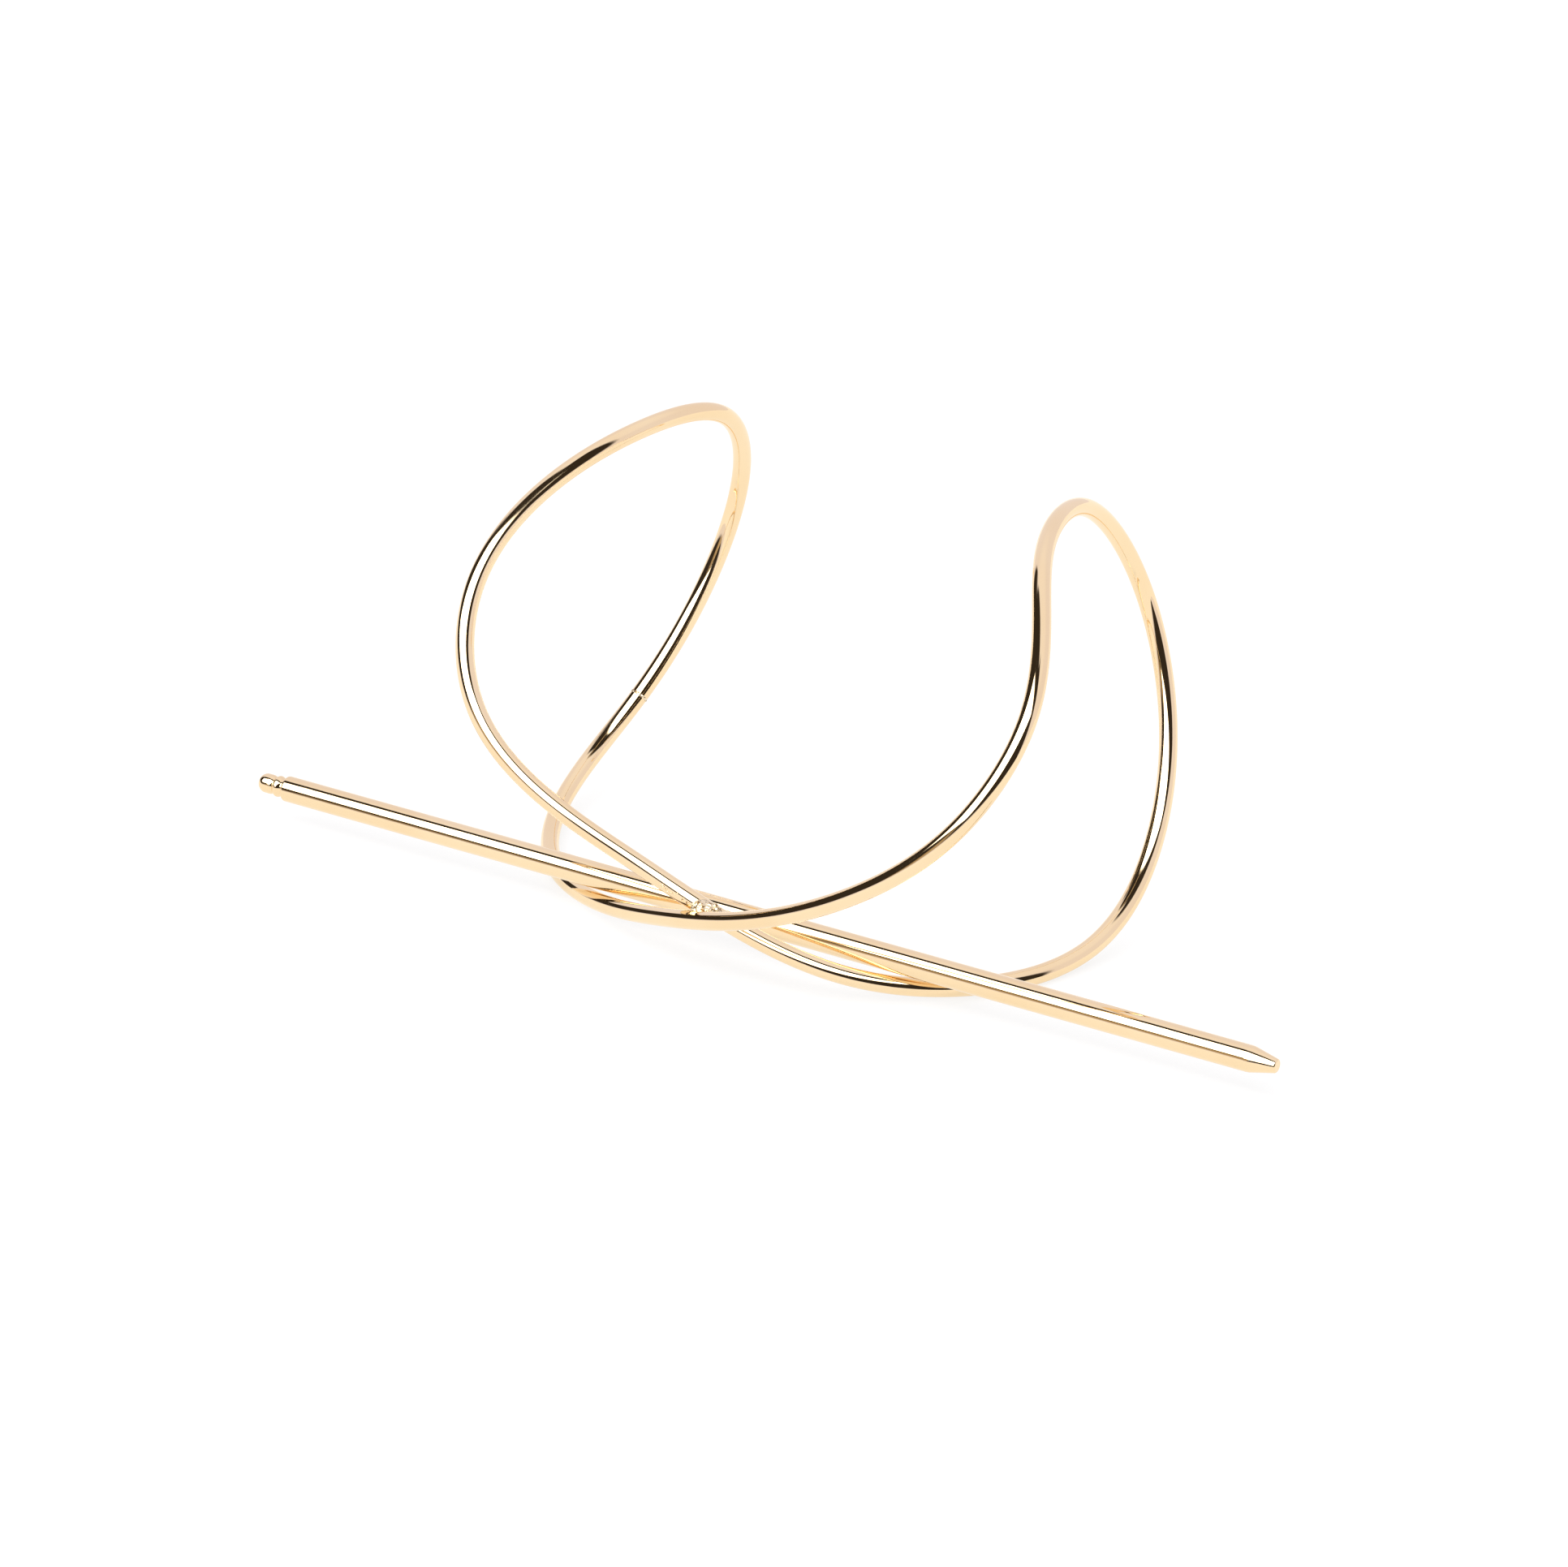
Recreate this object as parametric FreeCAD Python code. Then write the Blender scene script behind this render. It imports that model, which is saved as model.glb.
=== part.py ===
import FreeCAD, Part
import os
from math import asin, cos, pi, radians, sin, sqrt, tan
from FreeCAD import Vector

# Hair-bun cuff with its stick, in millimetres.
# The cuff is drawn arch down in its own axes: X across the two loops, Y from the one side limb to
# the other, Z up from the crossing to the loop ends. It is then leaned over to the way it rests.

# bent wire of the cuff
wire_d = 2.5
seam_gap = 0.2
seam_d = 2.6

# points the wire's centre line passes through, starting at its butt joint
left_loop_outer = [(-36.9, 24.7, 39.0), (-39.0, 23.0, 22.8), (-33.1, 16.5, 9.3)]
under_strand = [(-20.7, 10.0, 2.2), (-6.4, 2.5, -0.7), (9.4, -5.3, -1.2), (25.3, -12.5, 3.0)]
right_loop_inner = [(37.7, -19.1, 12.4), (42.4, -23.7, 26.6), (38.5, -23.7, 40.2), (32.3, -20.5, 53.3)]
right_loop_end = [(29.6, -9.8, 65.4), (32.4, 6.5, 66.0)]
right_loop_outer = [(38.4, 18.6, 54.9), (42.6, 24.1, 38.1), (41.9, 22.3, 20.0), (32.9, 14.7, 7.0)]
over_strand = [(19.2, 7.8, 0.6), (4.6, 2.4, 0.6), (-9.3, -3.5, 3.0), (-22.6, -9.8, 5.8)]
left_loop_inner = [(-34.3, -16.2, 12.6), (-39.7, -21.6, 26.7), (-37.7, -21.3, 42.3), (-31.8, -17.1, 56.4)]
left_loop_end = [(-27.5, -6.2, 67.9), (-29.2, 8.8, 67.6), (-32.6, 19.7, 55.5)]
stations = (
    left_loop_outer + under_strand + right_loop_inner + right_loop_end
    + right_loop_outer + over_strand + left_loop_inner + left_loop_end
)

# solder lump where the two strands cross, with one bead run into the wedge beside it
lump_at = Vector(0.9, -0.4, 0.5)
lump_reach = 2.2
lump_wide = 1.2
lump_thick = 1.4
lump_turn_deg = 21.5
bead_at = Vector(3.2, 0.0, -0.1)
bead_d = 1.8

# stick, turned from one rod along X
stick_y = 7.7
stick_z = 4.65
stick_from_x = -73.5
stick_len = 152.5
shaft_d = 3.5
head_d = 2.66
head_dome = 1.15
head_len = 2.45
head_fall = 0.75  # length over which the back of the head rounds down into its groove
groove_d = 2.24
collar_d = 2.9
collar_len = 1.25
collar_peak = 0.45  # where along the collar it is fattest, as a share of its length
neck_d = 2.3
neck_len = 0.35
shoulder_r = 0.45
cone_len = 3.5
cone_lead = 0.5
cone_lead_drop = 0.04  # fine ring turned at the foot of the cone
cone_end_d = 1.9
cone_end_round = 0.3

# resting attitude: turned about X by this angle
lean_deg = -55.7

wire_r = wire_d / 2
sweep_tolerance = 0.01
flow_rounds = 40


def unit(v):
    return v * (1 / v.Length)


def tangents(points):
    """Direction of the wire at each station of the closed loop, with the bend flowing through it."""
    count = len(points)
    run = [(points[i] - points[i - 1]).Length for i in range(count)]
    flow = [Vector(0, 0, 0)] * count
    for _ in range(flow_rounds):
        for i in range(count):
            after = (i + 1) % count
            back = (points[i] - points[i - 1]) * (run[after] / run[i])
            ahead = (points[after] - points[i]) * (run[i] / run[after])
            pull = (back + ahead) * 3 - flow[i - 1] * run[after] - flow[after] * run[i]
            flow[i] = pull * (0.5 / (run[i] + run[after]))
    return [unit(direction) for direction in flow]


def arc(start, corner, end):
    """Arc tangent to both legs of an even-legged corner."""
    to_start = unit(start - corner)
    to_end = unit(end - corner)
    half = to_start.getAngle(to_end) / 2
    leg = (start - corner).Length
    radius = leg * tan(half)
    inward = unit(to_start + to_end)
    middle = corner + inward * (leg / cos(half) - radius)
    return Part.Arc(start, middle, end).toShape()


def two_arcs(p0, t0, p1, t1):
    """Two tangent arcs that leave p0 along t0 and reach p1 along t1."""
    gap = p1 - p0
    a = 2 * (1 - t0.dot(t1))
    b = 2 * gap.dot(t0 + t1)
    c = gap.dot(gap)
    leg = (sqrt(b * b + 4 * a * c) - b) / (2 * a)
    first = p0 + t0 * leg
    second = p1 - t1 * leg
    joint = (first + second) * 0.5
    return [arc(p0, first, joint), arc(joint, second, p1)]


def wire_path():
    """Centre line from one end of the wire to the other, with the seam's gap between them."""
    points = [Vector(*p) for p in stations]
    count = len(points)
    directions = tangents(points)
    half_gap = directions[0] * (seam_gap / 2)
    points.append(points[0] - half_gap)
    directions.append(directions[0])
    points[0] = points[0] + half_gap
    edges = []
    for i in range(count):
        edges += two_arcs(points[i], directions[i], points[i + 1], directions[i + 1])
    return Part.Wire(edges), directions[0]


def disc_wire(centre, direction, radius):
    return Part.Wire([Part.Circle(centre, direction, radius).toShape()])


def make_cuff_wire(path, direction):
    start = path.OrderedVertexes[0].Point
    swept = path.makePipeShell([disc_wire(start, direction, wire_r)], True, False)
    expected = pi * wire_r ** 2 * path.Length
    assert abs(swept.Volume / expected - 1) < sweep_tolerance, (swept.Volume, expected)
    return swept


def make_butt_seam(direction):
    """Thin ring of filler between the wire's two ends."""
    centre = Vector(*stations[0])
    start = centre - direction * (seam_gap / 2)
    return Part.makeCylinder(seam_d / 2, seam_gap, start, direction)


def make_crossing_solder(cuff_wire):
    """Flattened lump and its bead, cut to fit round both strands."""
    stretch = FreeCAD.Matrix()
    stretch.scale(Vector(lump_reach, lump_wide, lump_thick))
    lump = Part.makeSphere(1.0).transformGeometry(stretch)
    lump.rotate(Vector(0, 0, 0), Vector(0, 0, 1), lump_turn_deg)
    lump.translate(lump_at)
    bead = Part.makeSphere(bead_d / 2, bead_at)
    left = lump.fuse(bead).cut(cuff_wire)
    return max(left.Solids, key=lambda solid: solid.Volume)


def make_stick():
    """Profile in the XY plane, revolved about the stick's axis."""
    head_r = head_d / 2
    groove_r = groove_d / 2
    collar_r = collar_d / 2
    neck_r = neck_d / 2
    shaft_r = shaft_d / 2
    lead_r = shaft_r - cone_lead_drop
    end_r = cone_end_d / 2
    x_fall = head_len - head_fall
    x_collar = head_len
    x_neck = x_collar + collar_len
    x_shoulder = x_neck + neck_len
    x_shaft = x_shoulder + shoulder_r
    x_cone = stick_len - cone_len
    x_lead = x_cone - cone_lead
    x_round = stick_len - cone_end_round
    flat_r = end_r - cone_end_round

    def at(x, r):
        return Vector(x, r, 0)

    def line(a, b):
        return Part.LineSegment(a, b).toShape()

    def bow(a, m, b):
        return Part.Arc(a, m, b).toShape()

    c45 = cos(radians(45))
    dome_flat = head_r - head_dome
    drop = head_r - groove_r
    fall_r = (head_fall ** 2 + drop ** 2) / (2 * drop)
    half_fall = asin(head_fall / fall_r) / 2
    edges = [
        line(at(0, 0), at(0, dome_flat)),
        bow(
            at(0, dome_flat),
            at(head_dome * (1 - c45), dome_flat + head_dome * c45),
            at(head_dome, head_r),
        ),
        line(at(head_dome, head_r), at(x_fall, head_r)),
        bow(
            at(x_fall, head_r),
            at(x_fall + fall_r * sin(half_fall), head_r - fall_r * (1 - cos(half_fall))),
            at(x_collar, groove_r),
        ),
        bow(
            at(x_collar, groove_r),
            at(x_collar + collar_len * collar_peak, collar_r),
            at(x_neck, neck_r),
        ),
        line(at(x_neck, neck_r), at(x_shoulder, neck_r)),
        line(at(x_shoulder, neck_r), at(x_shoulder, shaft_r - shoulder_r)),
        bow(
            at(x_shoulder, shaft_r - shoulder_r),
            at(x_shoulder + shoulder_r * (1 - c45), shaft_r - shoulder_r * (1 - c45)),
            at(x_shaft, shaft_r),
        ),
        line(at(x_shaft, shaft_r), at(x_lead, shaft_r)),
        line(at(x_lead, shaft_r), at(x_cone, lead_r)),
        line(at(x_cone, lead_r), at(x_round, end_r)),
        bow(
            at(x_round, end_r),
            at(x_round + cone_end_round * c45, flat_r + cone_end_round * c45),
            at(stick_len, flat_r),
        ),
        line(at(stick_len, flat_r), at(stick_len, 0)),
        line(at(stick_len, 0), at(0, 0)),
    ]
    profile = Part.Face(Part.Wire(edges))
    stick = profile.revolve(Vector(0, 0, 0), Vector(1, 0, 0), 360)
    stick.translate(Vector(stick_from_x, stick_y, stick_z))
    return stick


path, seam_direction = wire_path()
cuff_wire = make_cuff_wire(path, seam_direction)
nodes = {
    "cuff_wire": cuff_wire,
    "butt_seam": make_butt_seam(seam_direction),
    "crossing_solder": make_crossing_solder(cuff_wire),
    "stick": make_stick(),
}

# lean the whole set over, then put the origin under the middle of it, on the table
for shape in nodes.values():
    shape.rotate(Vector(0, 0, 0), Vector(1, 0, 0), lean_deg)
box = Part.makeCompound(list(nodes.values())).optimalBoundingBox()
shift = Vector(-(box.XMin + box.XMax) / 2, -(box.YMin + box.YMax) / 2, -box.ZMin)

os.makedirs("parts", exist_ok=True)
for name, shape in nodes.items():
    shape.translate(shift)
    assert shape.isValid() and len(shape.Solids) == 1, name
    shape.exportStep("parts/" + name + ".step")
    b = shape.optimalBoundingBox()
    print(name, "volume %.1f" % shape.Volume, "x %.2f %.2f" % (b.XMin, b.XMax),
          "y %.2f %.2f" % (b.YMin, b.YMax), "z %.2f %.2f" % (b.ZMin, b.ZMax))
print("shift %.3f %.3f %.3f" % tuple(shift))
print("wire length %.1f" % path.Length)
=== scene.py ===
import bpy
import bmesh
import math
import random
from mathutils import Matrix, Vector, noise
from mathutils.geometry import interpolate_bezier


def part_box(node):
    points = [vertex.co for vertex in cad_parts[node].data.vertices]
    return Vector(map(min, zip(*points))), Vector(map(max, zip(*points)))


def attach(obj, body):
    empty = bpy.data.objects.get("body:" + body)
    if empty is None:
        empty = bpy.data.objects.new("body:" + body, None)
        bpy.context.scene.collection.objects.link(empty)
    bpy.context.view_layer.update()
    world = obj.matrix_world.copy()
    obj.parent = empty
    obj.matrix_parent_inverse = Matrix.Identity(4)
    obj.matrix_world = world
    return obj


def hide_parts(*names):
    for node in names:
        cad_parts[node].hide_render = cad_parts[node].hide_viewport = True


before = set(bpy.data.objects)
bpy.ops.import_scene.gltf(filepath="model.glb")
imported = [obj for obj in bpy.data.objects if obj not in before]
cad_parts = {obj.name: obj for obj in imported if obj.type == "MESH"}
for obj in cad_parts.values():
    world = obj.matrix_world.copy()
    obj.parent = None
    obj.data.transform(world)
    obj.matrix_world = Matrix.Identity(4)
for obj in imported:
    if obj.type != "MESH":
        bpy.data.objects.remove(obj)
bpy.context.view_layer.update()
print("frame loaded:", ", ".join(sorted(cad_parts)))

mm = 0.001
xAxis = Vector((1, 0, 0))
zAxis = Vector((0, 0, 1))


# shader sums

class Value:  # a socket that can be added, multiplied and compared like a number
    def __init__(self, tree, socket):
        self.tree = tree
        self.socket = socket

    def maths(self, operation, *inputs):
        return self.tree.node("Math", {"operation": operation}, dict(enumerate(inputs)))

    def __add__(self, other):
        return self.maths("ADD", self, other)

    def __sub__(self, other):
        return self.maths("SUBTRACT", self, other)

    def __rsub__(self, other):
        return self.maths("SUBTRACT", other, self)

    def __mul__(self, other):
        return self.maths("MULTIPLY", self, other)

    __radd__ = __add__
    __rmul__ = __mul__

    def between(self, low, high):  # 0 at low, 1 at high, eased
        ends = {"Value": self, "From Min": low, "From Max": high, "To Min": 0.0, "To Max": 1.0}
        return self.tree.node("MapRange", {"interpolation_type": "SMOOTHSTEP"}, ends)


class Finish:  # a node tree being put together
    def __init__(self, owner):
        owner.use_nodes = True
        self.nodes = owner.node_tree.nodes
        self.links = owner.node_tree.links
        self.nodes.clear()

    def node(self, kind, settings=None, inputs=None, output=0):
        made = self.nodes.new("ShaderNode" + kind)
        for name, setting in (settings or {}).items():
            setattr(made, name, setting)
        for name, value in (inputs or {}).items():
            socket = made.inputs[name]
            if isinstance(value, Value):
                self.links.new(value.socket, socket)
            elif socket.type == "RGBA" and len(value) == 3:
                socket.default_value = (*value, 1)
            else:
                socket.default_value = value
        return Value(self, made.outputs[output]) if made.outputs else made

    def mixColours(self, factor, first, second):
        inputs = {"Factor": factor, 6: first, 7: second}
        return self.node("Mix", {"data_type": "RGBA"}, inputs, output=2)

    def dot(self, vector, constant):
        inputs = {0: vector, 1: constant}
        return self.node("VectorMath", {"operation": "DOT_PRODUCT"}, inputs, output=1)

    def noiseAt(self, coords, size, detail=2.0, roughness=0.5):
        inputs = {"Vector": coords, "Scale": 1 / size, "Detail": detail, "Roughness": roughness}
        return self.node("TexNoise", None, inputs)


# polished plating and solder

plating = {
    "gold": (0.94, 0.735, 0.465),
    "goldDeep": (0.92, 0.70, 0.425),
    "tintPatch": 14 * mm,
    "tintEase": (0.35, 0.7),  # noise where a patch starts and where it is full
    "roughness": 0.035,
    "handledRoughness": 0.09,
    "handledPatch": 6 * mm,
    "handledDetail": 3.0,
    "handledEase": (0.45, 0.8),
    "wavePatch": 5.5 * mm,
    "waveDetail": 1.0,
    "waveHeight": 0.012 * mm,
    "grainAcross": 0.22 * mm,
    "grainLong": 2.4 * mm,
    "grainDetail": 3.0,
    "grainNoise": 0.6,
    "grainEase": (0.55, 0.8),
    "grainRoughness": 0.04,
    "grainHeight": 0.0012 * mm,
}


def platedFinish(name, along):
    # along: the coordinates the drawing lines run with, their first one going along the metal
    look = plating
    material = bpy.data.materials.new(name)
    tree = Finish(material)
    place = tree.node("TexCoord", output=3)
    lines = along(tree)
    tint = tree.noiseAt(place, look["tintPatch"]).between(*look["tintEase"])
    colour = tree.mixColours(tint, look["gold"], look["goldDeep"])
    handled = tree.noiseAt(place, look["handledPatch"], look["handledDetail"]).between(*look["handledEase"])
    grain = tree.noiseAt(lines, 1.0, look["grainDetail"], look["grainNoise"])
    rough = look["roughness"] + handled * (look["handledRoughness"] - look["roughness"])
    rough = rough + grain.between(*look["grainEase"]) * look["grainRoughness"]
    wave = tree.noiseAt(place, look["wavePatch"], look["waveDetail"])
    bumped = tree.node("Bump", None, {"Height": wave, "Distance": look["waveHeight"], "Strength": 1.0})
    bumped = tree.node("Bump", None, {
        "Height": grain, "Distance": look["grainHeight"], "Strength": 1.0, "Normal": bumped})
    shader = tree.node("BsdfPrincipled", None, {
        "Base Color": colour, "Metallic": 1.0, "Roughness": rough, "Normal": bumped})
    tree.node("OutputMaterial", None, {"Surface": shader})
    return material


def stickLines(tree):
    place = tree.node("TexCoord", output=3)
    scale = (1 / plating["grainLong"], 1 / plating["grainAcross"], 1 / plating["grainAcross"])
    return tree.node("VectorMath", {"operation": "MULTIPLY"}, {0: place, 1: scale})


def wireLines(tree):
    # the wire's own map: length along it, then angle round it, both in millimetres
    place = tree.node("UVMap", {"uv_map": "wireMap"})
    scale = (mm / plating["grainLong"], mm / plating["grainAcross"], 0)
    return tree.node("VectorMath", {"operation": "MULTIPLY"}, {0: place, 1: scale})


solderLook = {
    "pale": (0.95, 0.80, 0.56),
    # painted shade: a dark brown that stands in for the shade in the solder's cracks
    "crackShadeBrown": (0.30, 0.17, 0.06),
    "crumb": 0.32 * mm,
    "crumbHeight": 0.09 * mm,
    "finePatch": 0.32 * 0.6 * mm,
    "fineDetail": 3.0,
    "fineHeight": 0.6,  # beside the crumbs' own height
    "crackShadePatch": 0.32 * 1.5 * mm,
    "crackShadeEase": (0.5, 0.6),
    "roughness": 0.16,
    "fineRoughness": 0.15,
}


def solderFinish():
    material = bpy.data.materials.new("platedSolder")
    tree = Finish(material)
    place = tree.node("TexCoord", output=3)
    cells = tree.node("TexVoronoi", {"feature": "F1"}, {
        "Vector": place, "Scale": 1 / solderLook["crumb"], "Randomness": 1.0})
    fine = tree.noiseAt(place, solderLook["finePatch"], solderLook["fineDetail"])
    # painted shade: random noise patches of the solder are coloured dark brown to stand in for the shade in
    # its cracks
    crackShadeMask = tree.noiseAt(place, solderLook["crackShadePatch"]).between(*solderLook["crackShadeEase"])
    colour = tree.mixColours(crackShadeMask, solderLook["pale"], solderLook["crackShadeBrown"])
    rough = solderLook["roughness"] + fine * solderLook["fineRoughness"]
    bumped = tree.node("Bump", None, {
        "Height": cells + fine * solderLook["fineHeight"],
        "Distance": solderLook["crumbHeight"], "Strength": 1.0})
    shader = tree.node("BsdfPrincipled", None, {
        "Base Color": colour, "Metallic": 1.0, "Roughness": rough, "Normal": bumped})
    tree.node("OutputMaterial", None, {"Surface": shader})
    return material


wireGold = platedFinish("polishedWireGold", wireLines)
stickGold = platedFinish("polishedStickGold", stickLines)
solderGold = solderFinish()
print("finishes ready")


# bent wire of the cuff

cuffWire = {
    "diameter": 2.48 * mm,
    "lean": math.radians(-55.7),
    "stepsPerBend": 26,
    "roundness": 14,
    "flowRounds": 40,
    "mapLength": 462.5,  # about the wire's length in mm, which the drawing lines are scaled by
    # where the centre line passes, in the cuff's own upright axes, in mm: the fitted list of the CAD source
    "leftLoopOuter": [(-36.9, 24.7, 39), (-39, 23, 22.8), (-33.1, 16.5, 9.3)],
    "underStrand": [(-20.7, 10, 2.2), (-6.4, 2.5, -0.7), (9.4, -5.3, -1.2), (25.3, -12.5, 3)],
    "rightLoopInner": [
        (37.7, -19.1, 12.4), (42.4, -23.7, 26.6), (38.5, -23.7, 40.2), (32.3, -20.5, 53.3)],
    "rightLoopEnd": [(29.6, -9.8, 65.4), (32.4, 6.5, 66)],
    "rightLoopOuter": [(38.4, 18.6, 54.9), (42.6, 24.1, 38.1), (41.9, 22.3, 20), (32.9, 14.7, 7)],
    "overStrand": [(19.2, 7.8, 0.6), (4.6, 2.4, 0.6), (-9.3, -3.5, 3), (-22.6, -9.8, 5.8)],
    "leftLoopInner": [
        (-34.3, -16.2, 12.6), (-39.7, -21.6, 26.7), (-37.7, -21.3, 42.3), (-31.8, -17.1, 56.4)],
    "leftLoopEnd": [(-27.5, -6.2, 67.9), (-29.2, 8.8, 67.6), (-32.6, 19.7, 55.5)],
}


bendOrder = ("leftLoopOuter", "underStrand", "rightLoopInner", "rightLoopEnd",
             "rightLoopOuter", "overStrand", "leftLoopInner", "leftLoopEnd")


def bendPoints(turn):
    return [turn @ (Vector(p) * mm) for part in bendOrder for p in cuffWire[part]]


def bendFlow(points):
    # how the line runs through each point of the closed loop, with the bend carried smoothly across it
    count = len(points)
    runs = [(here - points[i - 1]).length for i, here in enumerate(points)]
    flow = [Vector((0, 0, 0))] * count
    for _ in range(cuffWire["flowRounds"]):
        for i in range(count):
            after = (i + 1) % count
            back = (points[i] - points[i - 1]) * (runs[after] / runs[i])
            ahead = (points[after] - points[i]) * (runs[i] / runs[after])
            pull = (back + ahead) * 3 - flow[i - 1] * runs[after] - flow[after] * runs[i]
            flow[i] = pull / (2 * (runs[i] + runs[after]))
    return flow, runs


def wireCurve(points, flow, runs, radius):
    line = bpy.data.curves.new("wireLine", "CURVE")
    line.dimensions = "3D"
    line.resolution_u = cuffWire["stepsPerBend"]
    line.bevel_depth = radius
    line.bevel_resolution = cuffWire["roundness"]
    line.twist_mode = "MINIMUM"
    spline = line.splines.new("BEZIER")
    spline.bezier_points.add(len(points) - 1)
    spline.use_cyclic_u = True
    for i, knot in enumerate(spline.bezier_points):
        knot.handle_left_type = knot.handle_right_type = "FREE"
        knot.co = points[i]
        knot.handle_left = points[i] - flow[i] * (runs[i] / 3)
        knot.handle_right = points[i] + flow[i] * (runs[(i + 1) % len(runs)] / 3)
    return line


def asMesh(line, name):
    holder = bpy.data.objects.new("holder", line)
    bpy.context.scene.collection.objects.link(holder)
    bpy.context.view_layer.update()
    seen = holder.evaluated_get(bpy.context.evaluated_depsgraph_get())
    mesh = bpy.data.meshes.new_from_object(seen)
    bpy.data.objects.remove(holder)
    mesh.name = name
    return mesh


def newPiece(name, mesh, finish, body, slotName, *nodes, crease=None):
    mesh.materials.clear()
    mesh.materials.append(finish)
    mesh.shade_smooth()
    if crease:
        mesh.set_sharp_from_angle(angle=math.radians(crease))
    piece = bpy.data.objects.new(name, mesh)
    bpy.context.scene.collection.objects.link(piece)
    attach(piece, body)
    if nodes:
        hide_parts(*nodes)
    return piece


def boxOf(mesh):
    spots = [v.co for v in mesh.vertices]
    low = Vector([min(p[k] for p in spots) for k in range(3)])
    high = Vector([max(p[k] for p in spots) for k in range(3)])
    return low, high


# the cuff is drawn upright, leaned over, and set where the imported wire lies
leaned = Matrix.Rotation(cuffWire["lean"], 4, "X")
wireRadius = cuffWire["diameter"] / 2
points = bendPoints(leaned)
flow, runs = bendFlow(points)
wireMesh = asMesh(wireCurve(points, flow, runs, wireRadius), "cuffWire")
low, high = boxOf(wireMesh)
packedLow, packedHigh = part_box("cuff_wire")
laid = Matrix.Translation((packedLow + packedHigh - low - high) / 2)
wireMesh.transform(laid)
upright = laid @ leaned
sizeGap = (high - low) - (packedHigh - packedLow)
print("wire is larger than the packed one by, in mm,", [round(v / mm, 3) for v in sizeGap])


def layWireMap(mesh):
    # turns the curve's own 0 to 1 map into millimetres along and round the wire
    old = mesh.uv_layers[0]
    roundMm = math.pi * cuffWire["diameter"] / mm
    for corner in old.data:
        corner.uv = (corner.uv[0] * cuffWire["mapLength"], corner.uv[1] * roundMm)
    old.name = "wireMap"


layWireMap(wireMesh)
cuffPiece = newPiece("cuffWire", wireMesh, wireGold, "cuff", "polished_wire", "cuff_wire")


# butt joint in the wire

buttJoint = {
    "crest": 1.305 * mm, "halfWidth": 0.22 * mm, "sunk": 0.1 * mm,
    "leftDrop": 0.02 * mm, "rightDrop": 0.03 * mm,
    "wobble": 0.035 * mm, "wobblePitch": 0.5 * mm, "steps": 96,
}
mergeWithin = 1e-7


def spunPiece(name, outline, centre, axis, steps):
    # outline: (distance along the axis, radius) pairs, from one end to the other
    shell = bmesh.new()
    side = axis.orthogonal().normalized()
    verts = [shell.verts.new(centre + axis * along + side * radius) for along, radius in outline]
    edges = [shell.edges.new(pair) for pair in zip(verts, verts[1:])]
    bmesh.ops.spin(
        shell, geom=verts + edges, cent=centre, axis=axis, angle=math.tau, steps=steps, use_merge=True)
    bmesh.ops.remove_doubles(shell, verts=shell.verts, dist=mergeWithin)
    bmesh.ops.recalc_face_normals(shell, faces=shell.faces)
    mesh = bpy.data.meshes.new(name)
    shell.to_mesh(mesh)
    shell.free()
    return mesh


jointCentre = laid @ points[0]
jointAxis = flow[0].normalized()
width = buttJoint["halfWidth"]
crest = buttJoint["crest"]
inside = wireRadius - buttJoint["sunk"]
outline = [
    (-width, inside), (-width * 0.8, wireRadius), (-width * 0.4, crest - buttJoint["leftDrop"]),
    (0, crest),
    (width * 0.45, crest - buttJoint["rightDrop"]), (width * 0.85, wireRadius), (width, inside),
]
seamMesh = spunPiece("buttSeam", outline, jointCentre, jointAxis, buttJoint["steps"])
for vert in seamMesh.vertices:
    rough = noise.noise(vert.co / buttJoint["wobblePitch"]) * buttJoint["wobble"]
    vert.co += jointAxis * rough
newPiece("buttSeam", seamMesh, solderGold, "cuff", "solder", "butt_seam")
print("wire and butt seam made")


# solder where the strands cross

solder = {
    "lumpAt": (0.9, -0.4, 0.5), "lumpSize": (2.2, 1.2, 1.4), "lumpTurn": math.radians(21.5),
    "beadAt": (3.2, 0.0, -0.1), "beadRadius": 0.9,
    "ragged": 0.16, "raggedPitch": 0.55, "chips": 0.25, "lumps": 0.8,
    "nuggets": 60, "nuggetSize": (0.2, 0.46), "nuggetReach": (0.72, 0.95),
    "specks": 34, "speckSize": (0.06, 0.14), "speckSide": (0.14, -0.99, 0.09), "speckScatter": 0.22,
    "speckFrom": 0.4, "speckTo": 0.76,  # shares of the way from the first bend to the next
    "speckPlaces": 200, "seed": 11, "lumpFineness": 5, "nuggetFineness": 3, "speckFineness": 2,
}


def raggedBall(shell, centre, size, turn, fineness):
    made = bmesh.ops.create_icosphere(shell, subdivisions=fineness, radius=1.0)["verts"]
    shape = Matrix.Translation(Vector(centre)) @ Matrix.Rotation(turn, 4, "Z") @ Matrix.Diagonal((*size, 1))
    bmesh.ops.transform(shell, matrix=shape, verts=made)
    for vert in made:
        out = (vert.co - Vector(centre)).normalized()
        chipped = noise.cell(vert.co / solder["raggedPitch"]) * solder["chips"]
        lumpy = noise.fractal(vert.co / solder["raggedPitch"], 1.0, 2.0, 3)
        vert.co += out * (lumpy * solder["lumps"] + chipped) * solder["ragged"] * min(1, size[1])


def anyWay():
    return Vector([random.gauss(0, 1) for _ in range(3)]).normalized()


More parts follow.
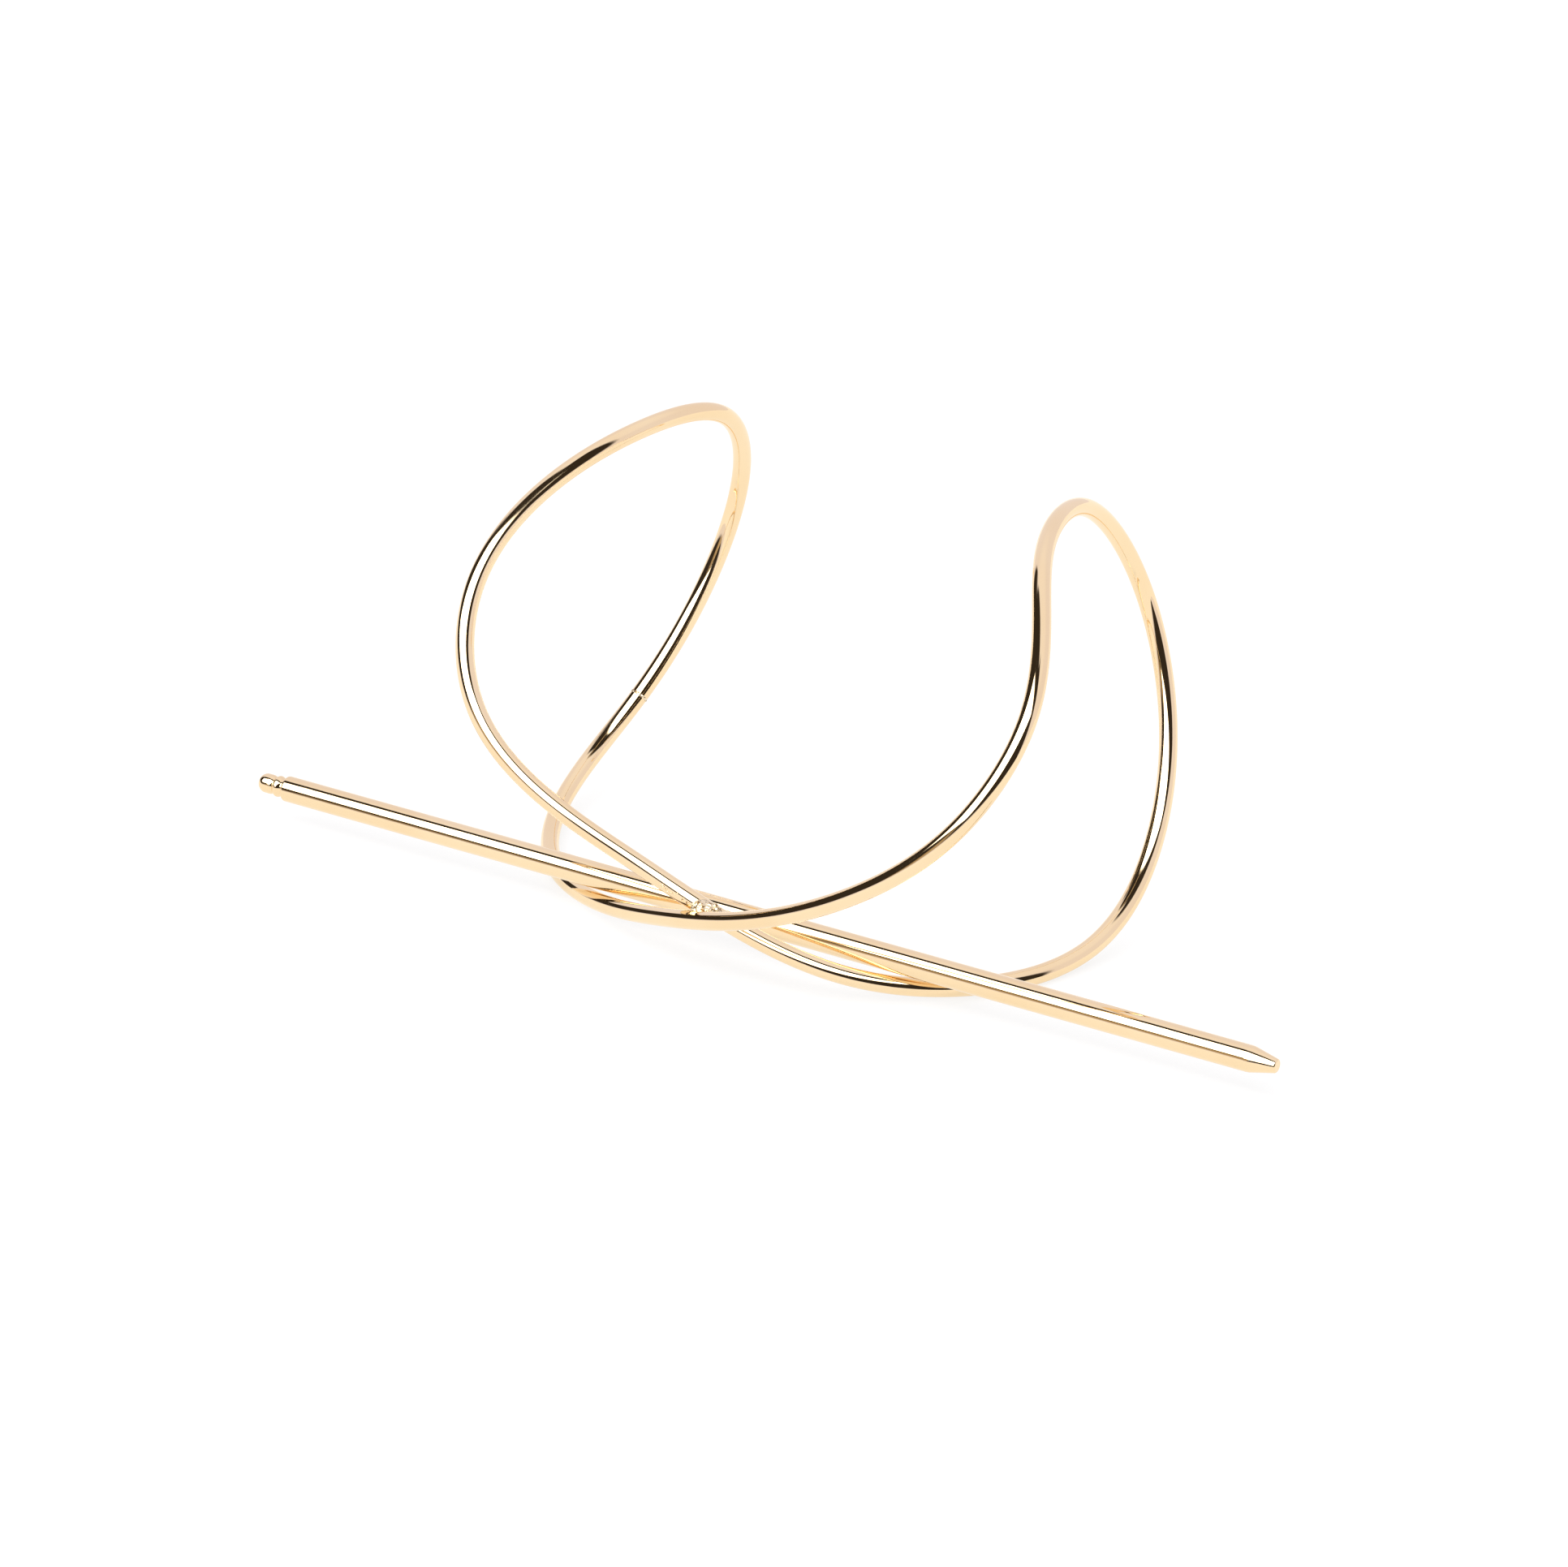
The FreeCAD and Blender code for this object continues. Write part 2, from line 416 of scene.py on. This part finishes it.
random.seed(solder["seed"])
shell = bmesh.new()
raggedBall(shell, solder["lumpAt"], solder["lumpSize"], solder["lumpTurn"], solder["lumpFineness"])
raggedBall(shell, solder["beadAt"], [solder["beadRadius"]] * 3, 0, solder["lumpFineness"])
lumpTurn = Matrix.Rotation(solder["lumpTurn"], 3, "Z")
for _ in range(solder["nuggets"]):
    offset = Vector([a * b for a, b in zip(anyWay(), solder["lumpSize"])])
    offset = offset * random.uniform(*solder["nuggetReach"])
    nuggetAt = Vector(solder["lumpAt"]) + lumpTurn @ offset
    raggedBall(shell, nuggetAt, [random.uniform(*solder["nuggetSize"])] * 3, 0, solder["nuggetFineness"])
bmesh.ops.transform(shell, matrix=upright @ Matrix.Scale(mm, 4), verts=shell.verts)

# fine specks thrown along the over strand, on the side that faces the front
beforeOver = bendOrder[:bendOrder.index("overStrand")]
overStart = sum(len(cuffWire[part]) for part in beforeOver) + 1
startRun = runs[overStart + 1] / 3
strand = interpolate_bezier(
    points[overStart], points[overStart] + flow[overStart] * startRun,
    points[overStart + 1] - flow[overStart + 1] * startRun, points[overStart + 1], solder["speckPlaces"])
for _ in range(solder["specks"]):
    share = random.uniform(solder["speckFrom"], solder["speckTo"])
    side = (Vector(solder["speckSide"]) + anyWay() * solder["speckScatter"]).normalized()
    spot = laid @ strand[int(share * (solder["speckPlaces"] - 1))] + side * wireRadius
    size = random.uniform(*solder["speckSize"]) * mm
    bmesh.ops.create_icosphere(
        shell, subdivisions=solder["speckFineness"], radius=size, matrix=Matrix.Translation(spot))
solderMesh = bpy.data.meshes.new("crossingSolder")
shell.to_mesh(solderMesh)
shell.free()
newPiece("crossingSolder", solderMesh, solderGold, "cuff", "solder", "crossing_solder")
print("crossing solder made")


# stick, turned from one rod

stick = {
    "shaftRadius": 1.75, "headRadius": 1.33, "headDome": 1.15, "headLength": 2.45,
    "headFall": 0.75, "grooveRadius": 1.12, "collarRadius": 1.45, "collarLength": 1.25, "collarPeak": 0.45,
    "neckRadius": 1.15, "neckLength": 0.35, "shoulder": 0.45,
    "coneLength": 3.5, "coneLead": 0.5, "coneDrop": 0.04, "coneEndRadius": 0.95, "coneEndRound": 0.3,
    "coneRoundFrom": 75, "length": 152.5,
    "steps": 128, "collarSteps": 24, "shaftSteps": 40, "crease": 4,
}


def quarter(x, r, radius, start, end, count=30):
    # part of a rounded corner, about (x, r), from one angle to another in degrees
    angles = [math.radians(start + (end - start) * i / count) for i in range(count + 1)]
    return [(x + radius * math.cos(a), r + radius * math.sin(a)) for a in angles]


def stickOutline():
    s = stick
    collarStart = s["headLength"]
    neck = collarStart + s["collarLength"]
    shaft = neck + s["neckLength"]
    cone = s["length"] - s["coneLength"]
    flatHead = s["headRadius"] - s["headDome"]
    flatTip = s["coneEndRadius"] - s["coneEndRound"]
    line = [(0, 0)]
    line += quarter(s["headDome"], flatHead, s["headDome"], 180, 90)
    drop = s["headRadius"] - s["grooveRadius"]
    fallRadius = (s["headFall"] ** 2 + drop ** 2) / (2 * drop)
    fallAngle = math.degrees(math.asin(s["headFall"] / fallRadius))
    line += quarter(collarStart - s["headFall"], s["headRadius"] - fallRadius, fallRadius, 90, 90 - fallAngle)
    for i in range(1, s["collarSteps"] + 1):  # collar swells out of the groove and falls to the neck
        t = i / s["collarSteps"]
        peak = s["collarPeak"]
        swell = 1 - t / peak if t < peak else (t - peak) / (1 - peak)
        foot = s["grooveRadius"] if t < peak else s["neckRadius"]
        line.append((collarStart + s["collarLength"] * t,
                     foot + (s["collarRadius"] - foot) * math.cos(math.pi / 2 * swell)))
    line.append((shaft, s["neckRadius"]))
    line += quarter(shaft + s["shoulder"], s["shaftRadius"] - s["shoulder"], s["shoulder"], 180, 90)
    run = cone - s["coneLead"] - (shaft + s["shoulder"])
    for i in range(1, s["shaftSteps"]):
        line.append((shaft + s["shoulder"] + run * i / s["shaftSteps"], s["shaftRadius"]))
    line += [(cone - s["coneLead"], s["shaftRadius"]), (cone, s["shaftRadius"] - s["coneDrop"])]
    line += quarter(s["length"] - s["coneEndRound"], flatTip, s["coneEndRound"], s["coneRoundFrom"], 0)
    line.append((s["length"], 0))
    return [(x * mm, r * mm) for x, r in line]


stickLow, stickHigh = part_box("stick")
stickStart = Vector((stickLow.x, (stickLow.y + stickHigh.y) / 2, (stickLow.z + stickHigh.z) / 2))
stickMesh = spunPiece("stick", stickOutline(), stickStart, xAxis, stick["steps"])
newPiece("stick", stickMesh, stickGold, "stick", "polished_rod", "stick", crease=stick["crease"])
print("stick made", len(stickMesh.polygons))


# table, light and camera

studio = {
    "floor": (0.17, 0.17, 0.17),
    "floorGlow": 0.81,
    "floorRoughness": 0.9,
    "floorGloss": 0.1,
    "floorSize": 6.0,
    "front": -60.3,  # azimuth that the lamp and its dark surround are placed from, in degrees
    "middle": (-45, 50),  # a direction inside every straight edge below; all are (azimuth, elevation)
    "lampEdges": [
        ((-88, 26), (-26, 16), 0.015), ((-26, 18), (24, 50), 0.03),
        ((-89, 27), (-101, 58), 0.02), ((-100, 64), (30, 66), 0.03),
    ],
    "surroundLeft": ((-138, 10), (-138, 60), 0.025),
    "surroundRight": ((56, 10), (62, 50), 0.03),
    "surroundTop": ((-140, 60), (-172, 76), 0.03),
    "surroundFoot": ((-139, 1), (-40, 6), 0.03),
    "surroundSplit": -45,  # azimuth where its left and right parts meet
    "topFrom": (0.55, 0.75),  # heights between which the top edge starts to count
    "ceilingFrom": (0.6, 0.9),
    "warmAt": (-48, 8),
    "warmEase": (0.955, 0.999),
    "wall": (0.91, 0.89, 1.0),
    "ceiling": (0.98, 0.97, 1.05),
    "lamp": (4.5, 4.5, 4.5),
    "dark": (0.035, 0.028, 0.022),
    "warm": (0.5, 0.38, 0.24),
}


def towards(azimuth, elevation):
    a, e = math.radians(azimuth), math.radians(elevation)
    return Vector((math.cos(e) * math.cos(a), math.cos(e) * math.sin(a), math.sin(e)))


def makeRoom():
    # a white room round the table with one big lamp in a dark surround; azimuths are from the front
    world = bpy.data.worlds.new("studio")
    bpy.context.scene.world = world
    tree = Finish(world)
    direction = tree.node("TexCoord", output=0)
    turned = tree.node("VectorRotate", {"rotation_type": "Z_AXIS"}, {
        "Vector": direction, "Angle": -math.radians(studio["front"])})
    height = tree.node("SeparateXYZ", None, {0: turned}, output=2)

    def sideOf(first, second, soft, inside=studio["middle"]):
        # 1 on the inside of the straight edge that passes two directions, 0 beyond it
        normal = towards(*first).cross(towards(*second)).normalized()
        if normal.dot(towards(*inside)) < 0:
            normal.negate()
        return tree.dot(turned, tuple(normal)).between(-soft, soft)

    def besideSplit(azimuth):
        split = studio["surroundSplit"]
        return sideOf((split, 5), (split, 50), 0.02, (azimuth, 20))

    lamp = 1.0
    for edge in studio["lampEdges"]:
        lamp = sideOf(*edge) * lamp
    leftPart = sideOf(*studio["surroundLeft"]) * besideSplit(-90)
    rightPart = sideOf(*studio["surroundRight"]) * besideSplit(0)
    topEdge = sideOf(*studio["surroundTop"])
    underTop = topEdge.maths("MAXIMUM", topEdge, 1 - height.between(*studio["topFrom"]))
    surround = (leftPart + rightPart) * underTop * sideOf(*studio["surroundFoot"])
    warm = tree.dot(turned, tuple(towards(*studio["warmAt"]))).between(*studio["warmEase"]) * surround
    colour = tree.mixColours(height.between(*studio["ceilingFrom"]), studio["wall"], studio["ceiling"])
    for mask, name in ((surround, "dark"), (warm, "warm"), (lamp, "lamp")):
        colour = tree.mixColours(mask, colour, studio[name])
    background = tree.node("Background", None, {"Color": colour, "Strength": 1.0})
    tree.node("OutputWorld", None, {"Surface": background})


def makeFloor():
    slab = bmesh.new()
    bmesh.ops.create_grid(slab, x_segments=2, y_segments=2, size=studio["floorSize"] / 2)
    mesh = bpy.data.meshes.new("table")
    slab.to_mesh(mesh)
    slab.free()
    paper = bpy.data.materials.new("palePaper")
    tree = Finish(paper)
    shader = tree.node("BsdfPrincipled", None, {
        "Base Color": studio["floor"], "Roughness": studio["floorRoughness"],
        "Specular IOR Level": studio["floorGloss"],
        "Emission Color": (1.0, 1.0, 1.0), "Emission Strength": studio["floorGlow"]})
    tree.node("OutputMaterial", None, {"Surface": shader})
    mesh.materials.append(paper)
    table = bpy.data.objects.new("table", mesh)
    bpy.context.scene.collection.objects.link(table)


makeRoom()
makeFloor()

view = {
    "from": (402.34, -706.74, 450.22),
    "at": (-3.54, -5.0, 17.94),
    "roll": 0.11,
    "lens": 161.3,
    "sensor": 36,
    "nearest": 0.01,
    "farthest": 20,
}

cameraData = bpy.data.cameras.new("camera")
cameraData.lens = view["lens"]
cameraData.sensor_width = view["sensor"]
cameraData.sensor_fit = "HORIZONTAL"
cameraData.clip_start = view["nearest"]
cameraData.clip_end = view["farthest"]
camera = bpy.data.objects.new("camera", cameraData)
bpy.context.scene.collection.objects.link(camera)
eye = Vector(view["from"]) * mm
ahead = (Vector(view["at"]) * mm - eye).normalized()
right = ahead.cross(zAxis).normalized()
down = ahead.cross(right)
roll = math.radians(view["roll"])
right = right * math.cos(roll) + down * math.sin(roll)
up = right.cross(ahead)
camera.matrix_world = Matrix.Translation(eye) @ Matrix((right, up, -ahead)).transposed().to_4x4()
bpy.context.scene.camera = camera

bpy.context.scene.view_settings.view_transform = "Standard"
bpy.context.scene.view_settings.look = "None"
print("table, light and camera set")
